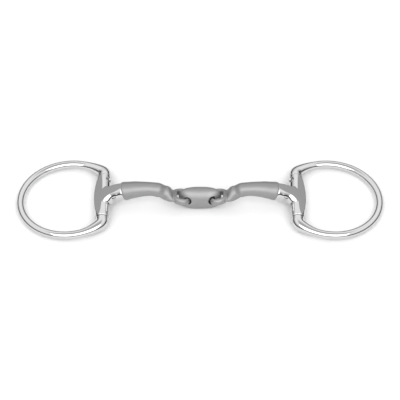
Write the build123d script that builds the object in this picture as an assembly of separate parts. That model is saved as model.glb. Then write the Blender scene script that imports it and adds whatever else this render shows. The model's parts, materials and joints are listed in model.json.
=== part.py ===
from build123d import *
import os
from math import acos, asin, atan2, cos, degrees, hypot, pi, radians, sin, sqrt

# A double-jointed eggbutt snaffle bit lying on a table: millimetres, +X along the mouthpiece, +Z up,
# origin under the middle of the centre link, on the table. The left side is modelled and then
# mirrored. Each side is an arm whose eye is threaded through the link, a cheek whose barrel
# carries the ring, and a ring that turns in that barrel on two studs.

# ---- Cheek: a barrel along Y, and a stem that climbs from it to the arm ----
mouth_width = 145.0        # between the inner sides of the two barrels
barrel_radius = 6.5        # at the middle of the barrel
barrel_end_radius = 5.9
barrel_bulge = 1.6         # how much fuller its outer side is at the middle, away from the mouth
barrel_sections = 9
barrel_length = 46.0
barrel_edge = 0.8          # rounding of both ends of the barrel
stem_root_radius = 6.4     # half the stem's thickness where it starts, inside the barrel
stem_flare = 6.0           # how much wider than the arm the stem gets where it meets the barrel
flare_start = 4.0          # from the barrel's axis, along the stem, to where that flare is fullest
flare_length = 7.0         # from there to where it has died out
stem_sections = 9
top_face_slope = 29.0      # degrees; the bare flat on the cheek's top climbs with the stem
top_face_height = 6.0      # of that flat above the barrel's axis, square to the flat

# ---- Arm: the part of the mouthpiece with the satin finish ----
crown_height = 12.1        # of the arm's centreline above the barrel's axis
inner_bend_radius = 22.0   # of the centreline where it turns down from the crown
wrist_radius = 7.0         # of the bend back that levels it before the eye
eye_slope = 9.0            # degrees; the eye falls towards the link
joint_reach = 19.3         # along the centreline, from the barrel's axis to the cheek's end
joint_radius = 7.3         # of stem and arm where they meet
arm_radius = 5.65          # of the slim inner half of the arm
taper_length = 23.0        # from the joint to where the arm is slim
spigot_radius = 4.0        # pressed into the cheek
spigot_length = 7.0

# ---- Eye at the arm's inner end ----
eye_bar_half = 2.1         # half the thickness of the eye's wire, in the plane of the eye
eye_bar_rise = 2.8         # half its thickness square to that plane
eye_corner_radius = 3.4    # of the wire's centreline beside the bar that runs through the link
eye_length = 12.2          # from that bar to the far end of the eye, centre to centre
eye_play = 0.35            # between the eye and each face of the link
arm_sections = 9
eye_root_sections = 7
eye_root_length = 20.0     # from the bar back to where the arm starts to spread
eye_root_spread = 1.5      # how much wider than the slim arm it gets
eye_mouth_reach = 9.1      # from the bar to where the arm ends, between the eye's branches
eye_mouth_half_width = 7.0
eye_mouth_half_rise = 2.7

# ---- Centre link ----
link_length = 34.8
link_width = 19.0
link_thickness = 13.6
link_fullness = 3.0        # power of the superellipse that outlines it; 2 is an ellipse
link_belly = 2.0           # the same power for its thickness
link_sections = 21
link_tip = 0.15            # the tips are cut this short, on a small flat
link_hole_inset = 7.2      # of each hole's middle from the tip
link_hole_radius = 3.3
link_hole_edge = 0.8       # rounding of the hole's rims
link_lean = 15.0           # degrees; the holes tip up towards the front
link_forward = 2.2         # how far the link sits in front of the barrels' middles

# ---- Ring and its studs ----
ring_radius = 39.9         # of the wire's centreline
wire_radius = 3.3
shoulder_radius = 5.5      # of the thick end that meets the barrel
shoulder_bend = 7.0        # radius of the bend from the barrel's line into the ring
shoulder_rise = 2.0        # straight part between the barrel and that bend
shoulder_length = 26.0     # along the wire, from the barrel to where it has its full slimness
seam_gap = 0.25            # between barrel and ring
shoulder_sections = 11
shoulder_edge = 0.4
stud_radius = 3.0
stud_clearance = 0.05      # radial, in the barrel's bore
stud_length = 14.0         # inside the barrel
stud_chamfer = 0.5
tenon_radius = 2.0         # pressed into the ring
tenon_length = 4.5

# ---- Pin that keeps the upper stud in the barrel ----
pin_reach = 17.0           # from the middle of the barrel
pin_angle = 45.0           # degrees above level, on the mouth's side
pin_radius = 1.5
recess_radius = 2.7
recess_depth = 1.2
pin_dome = 0.5             # how far the pin's head stands up in the recess
pin_dome_edge = 0.4        # rounding of that head
groove_depth = 1.0         # in the stud
groove_play = 0.3          # between pin and groove, each way

# ---- What follows from them ----
axis_x = mouth_width / 2 + barrel_radius
half_barrel = barrel_length / 2
bore_radius = stud_radius + stud_clearance
lean = radians(link_lean)
half_link = link_length / 2
pivot_x = half_link - link_hole_inset
link_height = hypot(link_width / 2 * cos(lean), link_thickness / 2 * sin(lean))
barrel_centre = Vector(-axis_x, 0, barrel_radius)
pivot = Vector(-pivot_x, -link_forward, link_height)
hole_axis = Vector(0, -cos(lean), sin(lean))
seam_y = half_barrel + seam_gap
bend_y = seam_y + shoulder_rise
ring_reach = shoulder_bend + sqrt((ring_radius - shoulder_bend) ** 2 - bend_y ** 2)
bend_turn = atan2(bend_y, ring_reach - shoulder_bend)
ring_droop = degrees(asin((barrel_radius - wire_radius) / (ring_reach + ring_radius)))
Y_AXIS_UP = (90, 0, 0)     # turns a solid's +Z to -Y, and (-90, 0, 0) turns it to +Y


def smooth(t):
    """0 to 1 along a cosine, flat at both ends."""
    return (1 - cos(pi * min(max(t, 0), 1))) / 2


def arm_centreline():
    """The mouthpiece's centreline from the barrel's axis over the crown to the link's hole."""
    across = pivot - barrel_centre
    level = Vector(across.X, across.Y, 0)
    side = Plane(origin=barrel_centre, x_dir=level, z_dir=level.cross(Vector(0, 0, 1)))
    level_run, fall = level.length, crown_height - across.Z
    tip = radians(eye_slope)
    turned = inner_bend_radius + wrist_radius
    steep = acos((inner_bend_radius + wrist_radius * cos(tip) + eye_length * sin(tip) - fall) / turned)
    crown_reach = level_run - turned * sin(steep) + wrist_radius * sin(tip) - eye_length * cos(tip)
    outer = (crown_reach ** 2 + crown_height ** 2) / (2 * crown_height)
    start = 90 + degrees(asin(crown_reach / outer))
    low = crown_height - inner_bend_radius
    first = CenterArc((crown_reach, crown_height - outer), outer, start, 90 - start)
    second = CenterArc((crown_reach, low), inner_bend_radius, 90, -degrees(steep))
    wrist_centre = Vector(crown_reach, low) + Vector(sin(steep), cos(steep)) * turned
    wrist = CenterArc(wrist_centre, wrist_radius, 270 - degrees(steep), degrees(steep) - eye_slope)
    last = Line(wrist @ 1, (level_run, across.Z))
    return side * Wire([first.edge(), second.edge(), wrist.edge(), last.edge()])


centreline = arm_centreline()
reach = centreline.length


def section(distance, width, thickness):
    """An oval across the centreline; its width lies along the link's hole."""
    at = centreline @ (distance / reach)
    along = centreline % (distance / reach)
    wide = hole_axis - along * hole_axis.dot(along)
    return Plane(origin=at, x_dir=wide, z_dir=along) * Ellipse(max(width, thickness), thickness)


def stations(start, end, count):
    return [start + (end - start) * i / (count - 1) for i in range(count)]


# ---------------- cheek ----------------
def stem():
    """Oval sections that spread sideways, like a fillet, as they near the barrel."""
    ovals = []
    for s in stations(0, joint_reach, stem_sections):
        thick = stem_root_radius + (joint_radius - stem_root_radius) * smooth(s / barrel_radius)
        inward = 1 - (s - flare_start) / flare_length
        spread = 1 - sqrt(1 - min(max(inward, 0), 1) ** 2)
        ovals.append(section(s, thick + stem_flare * spread, thick))
    return loft(ovals)


def barrel():
    """Ovals along Y: round at both ends, and fuller on the outer side in the middle."""
    ovals = []
    for y in stations(-half_barrel, half_barrel, barrel_sections):
        full = 1 - (y / half_barrel) ** 2
        radius = barrel_end_radius + (barrel_radius - barrel_end_radius) * full
        extra = barrel_bulge / 2 * full
        at = Plane(origin=barrel_centre + Vector(-extra, y, 0), x_dir=(1, 0, 0), z_dir=(0, 1, 0))
        ovals.append(at * Ellipse(radius + extra, radius))
    body = loft(ovals)
    ends = body.faces().filter_by(Plane.XZ).edges()
    return fillet(ends, barrel_edge)


def top_face_cutter():
    """Everything above the flat that runs along the barrel and out along the stem."""
    slope = radians(top_face_slope)
    up = Vector(-sin(slope), 0, cos(slope))
    flat = Plane(origin=barrel_centre + up * top_face_height, x_dir=(0, 1, 0), z_dir=up)
    size = mouth_width
    return flat * Box(size, size, size, align=(Align.CENTER, Align.CENTER, Align.MIN))


def pin_plane(distance):
    """A plane square to the retaining pin, at a distance from the barrel's axis."""
    out = Vector(cos(radians(pin_angle)), 0, sin(radians(pin_angle)))
    seat = barrel_centre + Vector(0, pin_reach, 0)
    return Plane(origin=seat + out * distance, x_dir=(0, 1, 0), z_dir=out)


def recess_floor():
    """Distance of the recess's flat floor from the barrel's axis."""
    bulge = (barrel_radius - barrel_end_radius) * (pin_reach / half_barrel) ** 2
    return barrel_radius - bulge - recess_depth


def spigot(length):
    at = centreline @ (joint_reach / reach)
    along = centreline % (joint_reach / reach)
    return Plane(origin=at, z_dir=-along) * extrude(Circle(spigot_radius), length)


def cheek():
    body = barrel() + stem()
    body -= top_face_cutter()
    body -= Pos(*barrel_centre) * Rot(*Y_AXIS_UP) * Cylinder(bore_radius, barrel_length * 2)
    body -= spigot(spigot_length)
    body -= pin_plane(recess_floor()) * extrude(Circle(recess_radius), barrel_radius)
    body -= pin_plane(0) * extrude(Circle(pin_radius), barrel_radius)
    return body


def retaining_pin():
    tip = stud_radius - groove_depth + groove_play
    height = recess_floor() - tip
    shank = pin_plane(tip) * extrude(Circle(pin_radius), height)
    head = pin_plane(recess_floor()) * extrude(Circle(pin_radius), pin_dome)
    rim = head.edges().filter_by(GeomType.CIRCLE).sort_by(Axis.X)[-1]
    return shank + fillet(rim, pin_dome_edge)


# ---------------- arm ----------------
def eye_plane():
    """Origin on the bar's middle, X back along the arm, Y along the bar."""
    along = centreline % 1
    back = -(along - hole_axis * hole_axis.dot(along))
    return Plane(origin=pivot, x_dir=back, z_dir=back.cross(hole_axis))


def eye():
    """A closed wire round the link's end: a straight bar, two branches and a round far end."""
    half = link_half(pivot_x, link_thickness, link_belly) + eye_play + eye_bar_half
    corner = eye_corner_radius
    outline = Wire([
        Line((0, half - corner), (0, corner - half)).edge(),
        CenterArc((corner, corner - half), corner, 180, 90).edge(),
        Line((corner, -half), (eye_length - half, -half)).edge(),
        CenterArc((eye_length - half, 0), half, -90, 180).edge(),
        Line((eye_length - half, half), (corner, half)).edge(),
        CenterArc((corner, half - corner), corner, 90, 90).edge(),
    ])
    wire = Plane(origin=(0, 0, 0), x_dir=(0, 0, 1), z_dir=(0, -1, 0)) * Ellipse(eye_bar_rise,
                                                                             eye_bar_half)
    return eye_plane() * sweep(wire, path=outline)


def arm():
    """A round bar that slims towards the middle, then flattens and spreads into its eye."""
    ovals = []
    slim_until = reach - eye_root_length
    for s in stations(joint_reach, slim_until, arm_sections):
        slim = smooth((s - joint_reach) / taper_length)
        radius = joint_radius + (arm_radius - joint_radius) * slim
        ovals.append(section(s, radius, radius))
    mouth = reach - eye_mouth_reach
    for s in stations(slim_until, mouth, eye_root_sections)[1:]:
        t = (s - slim_until) / (mouth - slim_until)
        spread = eye_root_spread * sin(pi * t)
        width = arm_radius + spread + (eye_mouth_half_width - arm_radius) * t
        ovals.append(section(s, width, arm_radius + (eye_mouth_half_rise - arm_radius) * smooth(t)))
    return loft(ovals) + eye() + spigot(spigot_length)


# ---------------- centre link ----------------
def link_half(x, size, fullness):
    """Half the link's width or thickness: a superellipse, so it stays plump round the holes."""
    return size / 2 * (1 - (abs(x) / half_link) ** fullness) ** (1 / fullness)


def link_body():
    """Ovals along X, closer together towards the tips."""
    ovals = []
    for turn in stations(0, 180, link_sections):
        x = (link_tip - half_link) * cos(radians(turn))
        at = Plane(origin=(x, 0, 0), x_dir=(0, 0, 1), z_dir=(1, 0, 0))
        wide = link_half(x, link_width, link_fullness)
        ovals.append(at * Ellipse(wide, link_half(x, link_thickness, link_belly)))
    return loft(ovals)


def centre_link():
    body = link_body()
    for x in (-pivot_x, pivot_x):
        body -= Pos(x, 0, 0) * Rot(*Y_AXIS_UP) * Cylinder(link_hole_radius, link_thickness)
    rims = [e for e in body.edges() if abs(abs(e.center().X) - pivot_x) < link_hole_radius
            and e.length > link_hole_radius and abs(e.center().Y) > link_hole_edge]
    body = fillet(rims, link_hole_edge)
    return Pos(0, -link_forward, link_height) * Rot(-link_lean, 0, 0) * body


# ---------------- ring ----------------
def ring_frame():
    """The ring lies in its own XY plane about the barrel's axis, and droops until it touches down."""
    return Pos(*barrel_centre) * Rot(0, -ring_droop, 0)


def wire_path():
    """Half the ring's centreline, from the barrel's upper end round to the outermost point."""
    meet = degrees(bend_turn)
    rise = Line((0, seam_y), (0, bend_y))
    bend = CenterArc((-shoulder_bend, bend_y), shoulder_bend, 0, meet)
    hoop = CenterArc((-ring_reach, 0), ring_radius, meet, 180 - meet)
    return Wire([rise.edge(), bend.edge(), hoop.edge()])


def shoulder(path):
    """The thick upper end: round sections that slim down along the bend and into the hoop."""
    rounds = []
    for s in stations(0, shoulder_length, shoulder_sections):
        radius = shoulder_radius + (wire_radius - shoulder_radius) * smooth(s / shoulder_length)
        at = Plane(origin=path @ (s / path.length), x_dir=(0, 0, 1), z_dir=path % (s / path.length))
        rounds.append(at * Circle(radius))
    end = loft(rounds)
    return fillet(end.faces().sort_by(Axis.Y)[0].edges().sort_by(Axis.Y)[0], shoulder_edge)


def ring():
    """One wire, thick where it meets the barrel, with a socket in each end for a stud."""
    past_bend = shoulder_length - shoulder_rise - shoulder_bend * bend_turn
    start = degrees(bend_turn + past_bend / ring_radius)
    hoop = CenterArc((-ring_reach, 0), ring_radius, start, 360 - 2 * start)
    slim = Plane(origin=hoop @ 0, x_dir=(0, 0, 1), z_dir=hoop % 0) * Circle(wire_radius)
    upper = shoulder(wire_path())
    body = upper + sweep(slim, path=hoop.edge()) + mirror(upper, about=Plane.XZ)
    for turn in (-1, 1):
        socket = Rot(90 * turn, 0, 0) * Pos(0, 0, seam_y) * extrude(Circle(tenon_radius), tenon_length)
        body -= socket
    return ring_frame() * body


def stud(groove):
    """A round stud along +Z with a tenon on its outer end; the upper one is grooved for the pin."""
    foot = seam_y - stud_length
    shank = Cylinder(stud_radius, stud_length, align=(Align.CENTER, Align.CENTER, Align.MIN))
    shank = chamfer(shank.edges().sort_by(Axis.Z)[0], stud_chamfer)
    tenon = Cylinder(tenon_radius, tenon_length, align=(Align.CENTER, Align.CENTER, Align.MIN))
    body = Pos(0, 0, foot) * (shank + Pos(0, 0, stud_length) * tenon)
    if groove:
        half = pin_radius + groove_play
        band = Cylinder(stud_radius * 2, half * 2) - Cylinder(stud_radius - groove_depth, half * 2)
        body -= Pos(0, 0, pin_reach) * band
    return body


# ---------------- the whole bit ----------------
def left_side():
    """Every piece of the left side, under its name without the side."""
    return {
        "cheek": cheek(),
        "arm": arm(),
        "retaining_pin": retaining_pin(),
        "ring": ring(),
        "upper_stud": Pos(*barrel_centre) * Rot(-90, 0, 0) * stud(True),
        "lower_stud": Pos(*barrel_centre) * Rot(90, 0, 0) * stud(False),
    }


def write(name, solid):
    solid.label = name
    export_step(solid, f"parts/{name}.step")


os.makedirs("parts", exist_ok=True)
write("centre_link", centre_link())
for piece, solid in left_side().items():
    write(f"left_{piece}", solid)
    write(f"right_{piece}", mirror(solid, about=Plane.YZ))
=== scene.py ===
import json
import math

import bpy
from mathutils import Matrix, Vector


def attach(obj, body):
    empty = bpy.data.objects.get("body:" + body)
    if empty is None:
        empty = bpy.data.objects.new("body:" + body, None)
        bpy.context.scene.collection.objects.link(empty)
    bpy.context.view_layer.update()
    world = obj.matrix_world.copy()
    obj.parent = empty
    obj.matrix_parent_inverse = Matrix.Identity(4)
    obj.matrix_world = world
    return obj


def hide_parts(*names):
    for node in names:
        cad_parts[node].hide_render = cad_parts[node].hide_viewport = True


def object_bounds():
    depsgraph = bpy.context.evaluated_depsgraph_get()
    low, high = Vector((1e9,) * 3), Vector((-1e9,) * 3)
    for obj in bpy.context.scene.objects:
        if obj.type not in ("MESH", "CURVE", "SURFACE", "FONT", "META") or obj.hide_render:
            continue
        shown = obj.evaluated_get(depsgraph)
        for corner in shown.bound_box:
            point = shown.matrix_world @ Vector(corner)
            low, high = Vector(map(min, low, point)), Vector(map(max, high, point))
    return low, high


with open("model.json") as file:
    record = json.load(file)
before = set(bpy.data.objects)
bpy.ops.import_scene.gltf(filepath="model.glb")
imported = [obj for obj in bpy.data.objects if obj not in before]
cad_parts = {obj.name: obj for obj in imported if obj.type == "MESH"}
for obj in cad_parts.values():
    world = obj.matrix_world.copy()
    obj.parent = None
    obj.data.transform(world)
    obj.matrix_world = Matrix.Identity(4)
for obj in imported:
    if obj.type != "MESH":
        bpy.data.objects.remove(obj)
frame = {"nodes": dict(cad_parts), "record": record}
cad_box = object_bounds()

MM = 0.001
LOW, HIGH = (Vector(corner) for corner in cad_box)
WIDTH = HIGH.x - LOW.x
JOINTS = {row["name"]: row for row in frame["record"]["behaviour"]["joints"]}


def grey(level):
    return (level, level, level, 1)


# ---------------------------------------------------------------- sums as nodes
class Value:
    """A socket in a finish or a shape, with the sums that shape it written as ordinary Python."""

    def __init__(self, shop, socket):
        self.shop = shop
        self.socket = socket

    def sum(self, operation, *terms):
        return self.shop.node("ShaderNodeMath", {"operation": operation}, dict(enumerate(terms)))

    def __add__(self, other):
        return self.sum("ADD", self, other)

    def __sub__(self, other):
        return self.sum("SUBTRACT", self, other)

    def __rsub__(self, other):
        return self.sum("SUBTRACT", other, self)

    def __mul__(self, other):
        return self.sum("MULTIPLY", self, other)

    def __truediv__(self, other):
        return self.sum("DIVIDE", self, other)

    def at_least(self, other):
        return self.sum("MAXIMUM", self, other)

    def at_most(self, other):
        return self.sum("MINIMUM", self, other)

    def above(self, other):
        """1 where this is more than the other, else 0."""
        return self.sum("GREATER_THAN", self, other)

    def cos(self):
        return self.sum("COSINE", self)

    def sin(self):
        return self.sum("SINE", self)

    def root(self):
        return self.sum("SQRT", self)

    def __abs__(self):
        return self.sum("ABSOLUTE", self)

    def sign(self):
        return self.sum("SIGN", self)

    __radd__ = __add__
    __rmul__ = __mul__


class Shop:
    """A node tree, for a finish or a shape, and the one way any node is put in it."""

    def __init__(self, tree):
        self.tree = tree

    def node(self, kind, settings=None, inputs=None, output=0):
        node = self.tree.nodes.new(kind)
        for key, setting in (settings or {}).items():
            if key == "stops":
                self.set_stops(node.color_ramp, setting)
            else:
                setattr(node, key, setting)
        for key, value in (inputs or {}).items():
            if isinstance(value, Value):
                self.tree.links.new(value.socket, node.inputs[key])
            else:
                node.inputs[key].default_value = value
        return Value(self, node.outputs[output]) if node.outputs else None

    def set_stops(self, ramp, stops):
        """Each stop is a place along the ramp and its grey level."""
        ramp.interpolation = "EASE"
        ramp.elements.remove(ramp.elements[0])
        ramp.elements[0].position = stops[0][0]
        ramp.elements[0].color = grey(stops[0][1])
        for place, level in stops[1:]:
            ramp.elements.new(place).color = grey(level)

    def grey(self, level):
        """A colour from a level that changes over the surface."""
        return self.node("ShaderNodeCombineColor", {}, {0: level, 1: level, 2: level})

    def range(self, value, low, high):
        """A 0..1 value spread between two numbers."""
        return low + value * (high - low)

    def vector(self, operation, first, second, output=0):
        return self.node("ShaderNodeVectorMath", {"operation": operation}, {0: first, 1: second}, output)


# ---------------------------------------------------------------- finishes
class Finish(Shop):
    """A metal finish that reads the piece's own place."""

    def __init__(self, name):
        self.material = bpy.data.materials.new(name)
        self.material.use_nodes = True
        super().__init__(self.material.node_tree)
        self.tree.nodes.clear()
        self.place = self.node("ShaderNodeTexCoord", output=3)

    def cloud(self, scale, detail=2.0, rough=0.5, stretch=(1, 1, 1), vector=None):
        """Soft noise, 0..1, with features about 1/scale metres across."""
        spread = self.vector("MULTIPLY", vector or self.place, stretch)
        return self.node("ShaderNodeTexNoise", {}, {"Vector": spread, "Scale": scale, "Detail": detail,
                                                    "Roughness": rough})

    def step(self, value, low, high):
        """0 below low, 1 above high, and smooth between."""
        return self.node("ShaderNodeMapRange", {"interpolation_type": "SMOOTHSTEP"},
                         {"Value": value, "From Min": low, "From Max": high})

    def blend(self, amount, first, second):
        return self.node("ShaderNodeMix", {"data_type": "RGBA"}, {0: amount, 6: first, 7: second}, 2)

    def metal(self, colour, roughness, heights, edge=0.0):
        """Each height is a value, its depth in metres and its strength. Corners are eased by edge."""
        normal = self.node("ShaderNodeBevel", {"samples": 8}, {"Radius": edge}) if edge else None
        for height, depth, strength in heights:
            bump = {"Height": height, "Distance": depth, "Strength": strength}
            if normal:
                bump["Normal"] = normal
            normal = self.node("ShaderNodeBump", {}, bump)
        inputs = {"Metallic": 1.0, "Base Color": colour, "Roughness": roughness, "Normal": normal}
        surface = self.node("ShaderNodeBsdfPrincipled", {}, inputs)
        self.node("ShaderNodeOutputMaterial", {}, {"Surface": surface})
        return self.material


def satin(name, level, rub_places):
    """Blasted steel: fine pits, cloudy patches, and bright rubbed metal where pieces ride on each other."""
    finish = Finish(name)
    pits = finish.cloud(4200, 3.0, 0.6)
    patches = finish.cloud(95, 3.0)
    flecks = finish.step(finish.cloud(1500, 1.0), 0.60, 0.72)
    rubbed = None
    for place in rub_places:
        away = finish.vector("DISTANCE", finish.place, place, 1)
        near = 1 - finish.step(away + patches * (4 * MM), 6 * MM, 12 * MM)
        rubbed = near if rubbed is None else rubbed.at_least(near)
    shade = finish.range(patches, 0.93, 1.07) * level + flecks * (0.05 * level)
    colour = finish.blend(rubbed * 0.5, finish.grey(shade), grey(level * 1.25))
    roughness = finish.range(patches, 0.52, 0.60) + flecks * 0.05 - rubbed * 0.16
    return finish.metal(colour, roughness, [(pits, 0.02 * MM, 0.5), (flecks, 0.01 * MM, 0.3)], 0.3 * MM)


def polished(name, level, shine=0.05):
    """Buffed steel: a mirror with faint haze, hairlines left by the mop and a trace of wave."""
    finish = Finish(name)
    haze = finish.cloud(70, 3.0)
    wave = finish.cloud(160, 0.0)
    hairs = finish.step(finish.cloud(420, 2.0, 0.6, (12, 0.6, 12)), 0.62, 0.80)
    wear = finish.step(finish.cloud(900, 3.0, 0.7), 0.60, 0.75)
    colour = finish.blend(haze, grey(level * 0.96), grey(level))
    roughness = finish.range(haze, shine, shine + 0.04) + hairs * 0.10 + wear * 0.03
    return finish.metal(colour, roughness, [(wave, 0.04 * MM, 0.10), (hairs, 0.004 * MM, 0.4)], 0.5 * MM)


def drawn(name, level):
    """Polished wire: the same mirror, with hairlines that run round and along the wire itself."""
    finish = Finish(name)
    along = finish.node("ShaderNodeUVMap", {"uv_map": "wire_run"})
    haze = finish.cloud(60, 3.0)
    hairs = finish.step(finish.cloud(3.0, 3.0, 0.6, (30, 14, 1), along), 0.60, 0.80)
    wave = finish.cloud(130, 0.0)
    colour = finish.blend(haze, grey(level * 0.96), grey(level))
    roughness = finish.range(haze, 0.04, 0.08) + hairs * 0.08
    return finish.metal(colour, roughness, [(wave, 0.04 * MM, 0.08), (hairs, 0.004 * MM, 0.4)])


def turned(name, level):
    """Lathe-turned steel: rings of tool marks square to the barrel."""
    finish = Finish(name)
    rings = finish.cloud(9000, 1.0, 0.5, (0.02, 1, 0.02))
    haze = finish.cloud(300, 2.0)
    colour = finish.blend(haze, grey(level * 0.9), grey(level))
    return finish.metal(colour, finish.range(rings, 0.22, 0.34), [(rings, 0.01 * MM, 0.5)])


FOLDS = [tuple(JOINTS[name]["pos_m"]) for name in ("left_fold", "right_fold")]
FINISHES = {"link_steel": satin("link_satin", 0.35, FOLDS), "arm_steel": satin("arm_satin", 0.35, FOLDS),
            "cheek_steel": polished("cheek_polish", 0.62), "ring_steel": drawn("ring_polish", 0.62),
            "stud_steel": turned("stud_turning", 0.62), "pin_steel": turned("pin_turning", 0.45)}
for row in frame["record"]["subparts"]:
    mesh = frame["nodes"][row["node"]].data
    mesh.materials.clear()
    mesh.materials.append(FINISHES[row["material_slot"]])


# ---------------------------------------------------------------- rings
# The same sizes as the ring that this wire replaces, in a tree's input names.
RING_SIZES = {"ring radius": 39.9 * MM, "wire radius": 3.3 * MM, "shoulder radius": 5.5 * MM,
              "shoulder length": 26 * MM, "shoulder rise": 2 * MM, "bend radius": 7 * MM,
              "seam": 23.25 * MM, "socket radius": 2 * MM, "socket depth": 4.5 * MM, "edge": 0.4 * MM}
ROWS, ROUND = 901, 49           # points along the whole wire and round it


def bend_turn(size):
    """How far the wire turns in the bend beside the barrel, before it joins the hoop."""
    inner = size["ring radius"] - size["bend radius"]
    return math.asin((size["seam"] + size["shoulder rise"]) / inner)


def run_length(size):
    """Along the wire from the barrel to the ring's outermost point."""
    turn = bend_turn(size)
    return (size["shoulder rise"] + size["bend radius"] * turn
            + size["ring radius"] * (math.pi - turn))


def ring_tree():
    """A sheet whose long side runs along the wire and short side round it, bent into the ring."""
    tree = bpy.data.node_groups.new("ring_wire", "GeometryNodeTree")
    names = list(RING_SIZES) + ["bend turn", "sheet length", "side", "droop"]
    for name in names:
        tree.interface.new_socket(name, in_out="INPUT", socket_type="NodeSocketFloat")
    for name in ("rows", "round"):
        tree.interface.new_socket(name, in_out="INPUT", socket_type="NodeSocketInt")
    tree.interface.new_socket("hinge", in_out="INPUT", socket_type="NodeSocketVector")
    tree.interface.new_socket("finish", in_out="INPUT", socket_type="NodeSocketMaterial")
    tree.interface.new_socket("wire", in_out="OUTPUT", socket_type="NodeSocketGeometry")
    shop = Shop(tree)
    entry = shop.node("NodeGroupInput").socket.node
    given = {socket.name: Value(shop, socket) for socket in entry.outputs if socket.name}
    sheet = shop.node("GeometryNodeMeshGrid", {}, {
        "Size X": given["sheet length"], "Size Y": 2 * math.pi,
        "Vertices X": given["rows"], "Vertices Y": given["round"]})
    spot = shop.node("GeometryNodeInputPosition")
    lengthways = shop.node("ShaderNodeSeparateXYZ", {}, {0: spot})
    angle = shop.node("ShaderNodeSeparateXYZ", {}, {0: spot}, 1)
    marked = shop.node("GeometryNodeStoreNamedAttribute", {"data_type": "FLOAT2", "domain": "CORNER"}, {
        "Geometry": sheet, "Name": "wire_run", "Value": spot})
    place = ring_place(shop, given, lengthways, angle)
    bent = shop.node("GeometryNodeSetPosition", {}, {"Geometry": marked, "Position": place})
    closed = shop.node("GeometryNodeMergeByDistance", {}, {"Geometry": bent, "Distance": 0.001 * MM})
    smooth = shop.node("GeometryNodeSetShadeSmooth", {}, {"Geometry": closed, "Shade Smooth": True})
    real = shop.node("GeometryNodeRealizeInstances", {}, {"Geometry": smooth})
    done = shop.node("GeometryNodeSetMaterial", {}, {"Geometry": real, "Material": given["finish"]})
    shop.node("NodeGroupOutput", {}, {"wire": done})
    return tree


def ring_place(shop, given, lengthways, angle):
    """Where a spot of the sheet goes: down the stud's socket, over the end face, then along the wire."""
    size = {name: given[name] for name in RING_SIZES}
    run = given["sheet length"] * 0.5 - abs(lengthways)
    half = lengthways.sign()
    face = size["shoulder radius"] - size["edge"] - size["socket radius"]
    wall = (run - size["socket radius"]).at_least(0.0).at_most(size["socket depth"])
    flat = (run - size["socket radius"] - size["socket depth"]).at_least(0.0).at_most(face)
    core = run.at_most(size["socket radius"]) + flat
    along = (run - size["socket radius"] - size["socket depth"] - face).at_least(0.0)

    rise = along.at_most(size["shoulder rise"])
    bend = ((along - size["shoulder rise"]) / size["bend radius"]).at_least(0.0).at_most(given["bend turn"])
    bend_run = size["shoulder rise"] + size["bend radius"] * given["bend turn"]
    hoop = (along - bend_run).at_least(0.0) / size["ring radius"]
    turn = bend + hoop
    hoop_end = given["bend turn"] + hoop
    across = (size["bend radius"] * (bend.cos() - 1.0)
              + size["ring radius"] * (hoop_end.cos() - given["bend turn"].cos()))
    up = (size["seam"] + size["socket depth"] - wall + rise + size["bend radius"] * bend.sin()
          + size["ring radius"] * (hoop_end.sin() - given["bend turn"].sin()))

    fade = ((along / size["shoulder length"]).at_most(1.0) * math.pi).cos() * 0.5 + 0.5
    thick = size["wire radius"] + (size["shoulder radius"] - size["wire radius"]) * fade
    back = size["edge"] - along.at_most(size["edge"])
    rounding = size["edge"] - (size["edge"] * size["edge"] - back * back).at_least(0.0).root()
    on_wire = along.above(0.0)
    radius = core * (1 - on_wire) + (thick - rounding) * on_wire

    outward = radius * angle.cos()
    flat_place = shop.node("ShaderNodeCombineXYZ", {}, {
        0: (across + outward * turn.cos()) * given["side"],
        1: (up + outward * turn.sin()) * half * given["side"], 2: radius * angle.sin()})
    drooped = shop.node("ShaderNodeVectorRotate", {"rotation_type": "Y_AXIS"}, {
        "Vector": flat_place, "Angle": given["droop"]})
    return shop.vector("ADD", drooped, given["hinge"])


def set_inputs(modifier, tree, values):
    """Each named input is set by its socket's identifier."""
    for item in tree.interface.items_tree:
        if item.in_out == "INPUT":
            modifier[item.identifier] = values[item.name]


def make_ring(side, tree):
    out = -1 if side == "left" else 1
    size = dict(RING_SIZES)
    hinge = Vector(JOINTS[f"{side}_ring_swing"]["pos_m"])
    reach = size["bend radius"] + math.cos(bend_turn(size)) * (size["ring radius"] - size["bend radius"])
    droop = math.asin((hinge.z - size["wire radius"]) / (reach + size["ring radius"]))
    end_run = size["shoulder radius"] - size["edge"] + size["socket depth"]
    values = size | {"bend turn": bend_turn(size), "side": float(-out), "droop": out * droop,
                     "sheet length": 2 * (end_run + run_length(size)), "rows": ROWS, "round": ROUND,
                     "hinge": hinge, "finish": FINISHES["ring_steel"]}
    piece = bpy.data.objects.new(f"{side}_ring_wire", bpy.data.meshes.new(f"{side}_ring_wire"))
    bpy.context.scene.collection.objects.link(piece)
    modifier = piece.modifiers.new("ring", "NODES")
    modifier.node_group = tree
    set_inputs(modifier, tree, values)
    shaped = piece.evaluated_get(bpy.context.evaluated_depsgraph_get())
    piece.data = bpy.data.meshes.new_from_object(shaped)
    piece.modifiers.clear()
    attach(piece, f"{side}_ring_set")
    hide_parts(f"{side}_ring")


RING_TREE = ring_tree()
for side in ("left", "right"):
    make_ring(side, RING_TREE)


# ---------------------------------------------------------------- stage
def slab(name, corners, material):
    mesh = bpy.data.meshes.new(name)
    mesh.from_pydata(corners, [], [range(len(corners))])
    mesh.materials.append(material)
    thing = bpy.data.objects.new(name, mesh)
    bpy.context.scene.collection.objects.link(thing)


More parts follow.
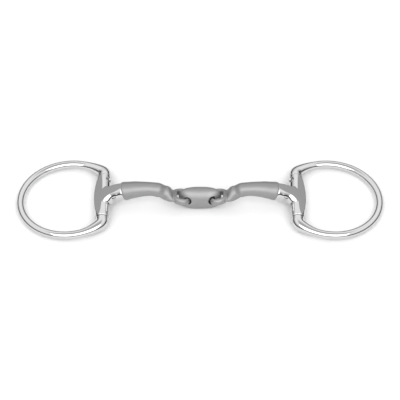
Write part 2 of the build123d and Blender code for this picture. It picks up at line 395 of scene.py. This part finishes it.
def matte(name, level):
    finish = Finish(name)
    mottle = finish.cloud(6, 2.0)
    colour = finish.blend(mottle, grey(level * 0.99), grey(level))
    surface = finish.node("ShaderNodeBsdfPrincipled", {}, {"Base Color": colour, "Roughness": 0.9})
    finish.node("ShaderNodeOutputMaterial", {}, {"Surface": surface})
    return finish.material


FLOOR_HALF = WIDTH * 12
SOFTBOX_PLACE = (0, -1.45, 1.35)
SOFTBOX_SIZE = (2.6, 1.9)
SOFTBOX_WATTS = 28
slab("studio_floor", [(-FLOOR_HALF, -FLOOR_HALF, 0), (FLOOR_HALF, -FLOOR_HALF, 0),
                      (FLOOR_HALF, FLOOR_HALF, 0), (-FLOOR_HALF, FLOOR_HALF, 0)], matte("pale_floor", 0.94))


def lamp(name, place, aim, size, watts):
    light = bpy.data.lights.new(name, "AREA")
    light.shape = "RECTANGLE"
    light.size, light.size_y = size
    light.energy = watts
    thing = bpy.data.objects.new(name, light)
    thing.location = place
    thing.rotation_euler = (Vector(aim) - Vector(place)).to_track_quat("-Z", "Y").to_euler()
    bpy.context.scene.collection.objects.link(thing)


lamp("front_softbox", SOFTBOX_PLACE, (0, 0, 0), SOFTBOX_SIZE, SOFTBOX_WATTS)


def studio_air(stops, front_fill):
    """Dark near the horizon and brighter overhead, with a faint fill low down in front."""
    world = bpy.data.worlds.new("studio_air")
    bpy.context.scene.world = world
    world.use_nodes = True
    shop = Shop(world.node_tree)
    shop.tree.nodes.clear()
    way = shop.node("ShaderNodeTexCoord", output=0)
    depth = shop.node("ShaderNodeSeparateXYZ", {}, {0: way}, 1)
    height = shop.node("ShaderNodeSeparateXYZ", {}, {0: way}, 2)
    sky = shop.node("ShaderNodeValToRGB", {"stops": stops}, {0: height})
    fill = (depth * -1).at_least(0.0) * (1 - height).at_least(0.0) * front_fill
    air = shop.node("ShaderNodeMix", {"data_type": "RGBA", "blend_type": "ADD"},
                    {0: 1.0, 6: sky, 7: shop.grey(fill)}, 2)
    light = shop.node("ShaderNodeBackground", {}, {"Color": air, "Strength": 1.0})
    shop.node("ShaderNodeOutputWorld", {}, {"Surface": light})


# How bright the air is at each height: the sine of the angle above the horizon, and a grey level.
AIR = [(0.0, 0.01), (0.21, 0.03), (0.37, 0.62), (0.68, 1.25), (0.86, 1.20), (0.97, 0.60)]
FRONT_FILL = 0.06
studio_air(AIR, FRONT_FILL)
bpy.context.scene.view_settings.view_transform = "Standard"


# ---------------------------------------------------------------- camera
CAMERA_LIFT = math.radians(46.7)
CAMERA_REACH = 1.3325
LENS, SENSOR = 146.7, 36        # in millimetres
aim = Vector((0, -0.0012, 0.0055))
camera = bpy.data.objects.new("camera", bpy.data.cameras.new("camera"))
camera.data.lens = LENS
camera.data.sensor_width = SENSOR
camera.location = aim + CAMERA_REACH * Vector((0, -math.cos(CAMERA_LIFT), math.sin(CAMERA_LIFT)))
camera.rotation_euler = (aim - camera.location).to_track_quat("-Z", "Y").to_euler()
bpy.context.scene.collection.objects.link(camera)
bpy.context.scene.camera = camera
